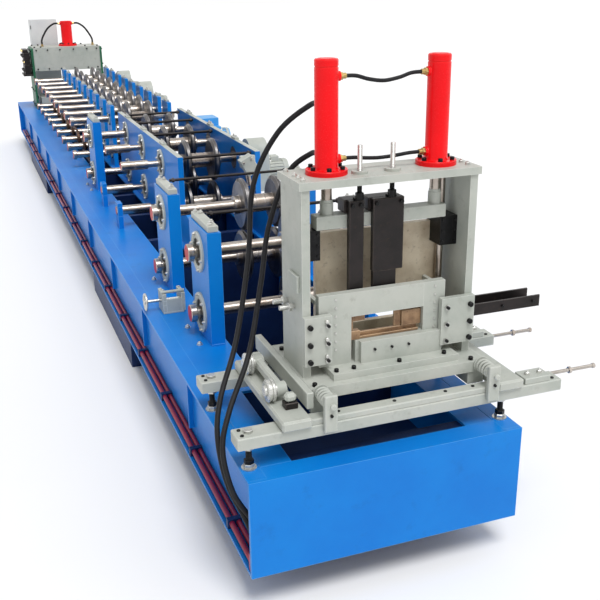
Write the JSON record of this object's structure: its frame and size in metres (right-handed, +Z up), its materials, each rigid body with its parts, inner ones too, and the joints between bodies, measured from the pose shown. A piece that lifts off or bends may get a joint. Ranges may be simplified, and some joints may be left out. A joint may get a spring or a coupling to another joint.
{
  "type": "roll forming machine",
  "caption": "Long blue roll forming machine for steel channels, with roll stands on a welded base, drives, a punching unit and a hydraulic cutter.",
  "frame": {"origin": "Middle of the underside of the near foot, on the floor and on the machine's centre line.", "axes": "+Z up, +Y along the machine from the cutter to the punching unit, +X to the drive side."},
  "size_m": [2.0372, 13.6, 2.45],
  "materials": {
    "blue_paint": "gloss",
    "navy_paint": "gloss",
    "grey_paint": "satin",
    "red_paint": "gloss",
    "bright_steel": "ground",
    "roll_steel": "ground",
    "black_steel": "blackened",
    "sky_blue_paint": "gloss",
    "chain_steel": "oiled",
    "green_paint": "satin",
    "cabinet_paint": "satin",
    "raw_steel": "raw",
    "hose_rubber": "matt"
  },
  "bodies": {
    "root": {"left_beam": "blue_paint", "right_beam": "blue_paint", "end_plates": "blue_paint", "cross_members": "navy_paint", "deck_plates": "blue_paint", "base_feet": "navy_paint", "hydraulic_pipes": "red_paint", "pipe_clamps": "grey_paint", "left_stands": "blue_paint", "stand_caps": "grey_paint", "middle_wall": "blue_paint", "right_wall": "blue_paint", "bearing_rings": "grey_paint", "far_posts": "blue_paint", "far_rolls": "roll_steel", "tie_rods": "bright_steel", "gear_drives": "grey_paint", "pump_drive": "sky_blue_paint", "chain_drives": "chain_steel", "handwheel_bracket": "grey_paint", "punch_housing": "grey_paint", "punch_side_plates": "green_paint", "punch_cylinder": "red_paint", "valve_stack": "black_steel", "rear_cabinet": "cabinet_paint", "cutter_rails": "grey_paint", "levelling_screws": "black_steel", "cutter_frame": "grey_paint", "cam_rollers": "grey_paint", "portal_sides": "grey_paint", "portal_top_plate": "grey_paint", "guide_posts": "bright_steel", "cutter_cylinders": "red_paint", "die_plate": "grey_paint", "die_guards": "grey_paint", "back_plate": "raw_steel", "buffer_springs": "grey_paint", "buffer_blocks": "grey_paint", "strip_trough": "black_steel", "adjusting_screws": "bright_steel", "left_hose": "hose_rubber", "second_hose": "hose_rubber", "upper_link_hose": "hose_rubber", "lower_link_hose": "hose_rubber", "punch_hose_left": "hose_rubber", "punch_hose_right": "hose_rubber"},
    "lower_roll_1": {"lower_roll_1": "roll_steel"},
    "upper_roll_1": {"upper_roll_1": "roll_steel"},
    "lower_roll_2": {"lower_roll_2": "roll_steel"},
    "upper_roll_2": {"upper_roll_2": "roll_steel"},
    "lower_roll_3": {"lower_roll_3": "roll_steel"},
    "upper_roll_3": {"upper_roll_3": "roll_steel"},
    "lower_roll_4": {"lower_roll_4": "roll_steel"},
    "upper_roll_4": {"upper_roll_4": "roll_steel"},
    "lower_roll_5": {"lower_roll_5": "roll_steel"},
    "upper_roll_5": {"upper_roll_5": "roll_steel"},
    "cutter_ram": {"crosshead": "grey_paint", "cutter_tools": "black_steel"},
    "handwheel": {"handwheel": "grey_paint"}
  },
  "joints": [
    {"name": "lower_roll_1_spin", "type": "hinge", "parent": "root", "child": "lower_roll_1", "pos_m": [0.27, -2.19, 0.85], "axis": [1, 0, 0], "continuous": true},
    {"name": "upper_roll_1_spin", "type": "hinge", "parent": "root", "child": "upper_roll_1", "pos_m": [0.27, -2.19, 1.236], "axis": [1, 0, 0], "continuous": true},
    {"name": "lower_roll_2_spin", "type": "hinge", "parent": "root", "child": "lower_roll_2", "pos_m": [0.27, -1.17, 0.85], "axis": [1, 0, 0], "continuous": true},
    {"name": "upper_roll_2_spin", "type": "hinge", "parent": "root", "child": "upper_roll_2", "pos_m": [0.27, -1.17, 1.236], "axis": [1, 0, 0], "continuous": true},
    {"name": "lower_roll_3_spin", "type": "hinge", "parent": "root", "child": "lower_roll_3", "pos_m": [0.27, 0.54, 0.85], "axis": [1, 0, 0], "continuous": true},
    {"name": "upper_roll_3_spin", "type": "hinge", "parent": "root", "child": "upper_roll_3", "pos_m": [0.27, 0.54, 1.236], "axis": [1, 0, 0], "continuous": true},
    {"name": "lower_roll_4_spin", "type": "hinge", "parent": "root", "child": "lower_roll_4", "pos_m": [0.27, 1.39, 0.85], "axis": [1, 0, 0], "continuous": true},
    {"name": "upper_roll_4_spin", "type": "hinge", "parent": "root", "child": "upper_roll_4", "pos_m": [0.27, 1.39, 1.236], "axis": [1, 0, 0], "continuous": true},
    {"name": "lower_roll_5_spin", "type": "hinge", "parent": "root", "child": "lower_roll_5", "pos_m": [0.27, 2.24, 0.85], "axis": [1, 0, 0], "continuous": true},
    {"name": "upper_roll_5_spin", "type": "hinge", "parent": "root", "child": "upper_roll_5", "pos_m": [0.27, 2.24, 1.236], "axis": [1, 0, 0], "continuous": true},
    {"name": "cutter_stroke", "type": "slide", "parent": "root", "child": "cutter_ram", "axis": [0, 0, -1], "range_m": [0, 0.12]},
    {"name": "handwheel_turn", "type": "hinge", "parent": "root", "child": "handwheel", "pos_m": [-0.691, -1.68, 0.775], "axis": [1, 0, 0], "continuous": true}
  ],
  "couplings": [
    {"joint": "upper_roll_1_spin", "follows": "lower_roll_1_spin", "ratio": -1},
    {"joint": "lower_roll_2_spin", "follows": "lower_roll_1_spin", "ratio": 1},
    {"joint": "upper_roll_2_spin", "follows": "lower_roll_1_spin", "ratio": -1},
    {"joint": "lower_roll_3_spin", "follows": "lower_roll_1_spin", "ratio": 1},
    {"joint": "upper_roll_3_spin", "follows": "lower_roll_1_spin", "ratio": -1},
    {"joint": "lower_roll_4_spin", "follows": "lower_roll_1_spin", "ratio": 1},
    {"joint": "upper_roll_4_spin", "follows": "lower_roll_1_spin", "ratio": -1},
    {"joint": "lower_roll_5_spin", "follows": "lower_roll_1_spin", "ratio": 1},
    {"joint": "upper_roll_5_spin", "follows": "lower_roll_1_spin", "ratio": -1}
  ]
}
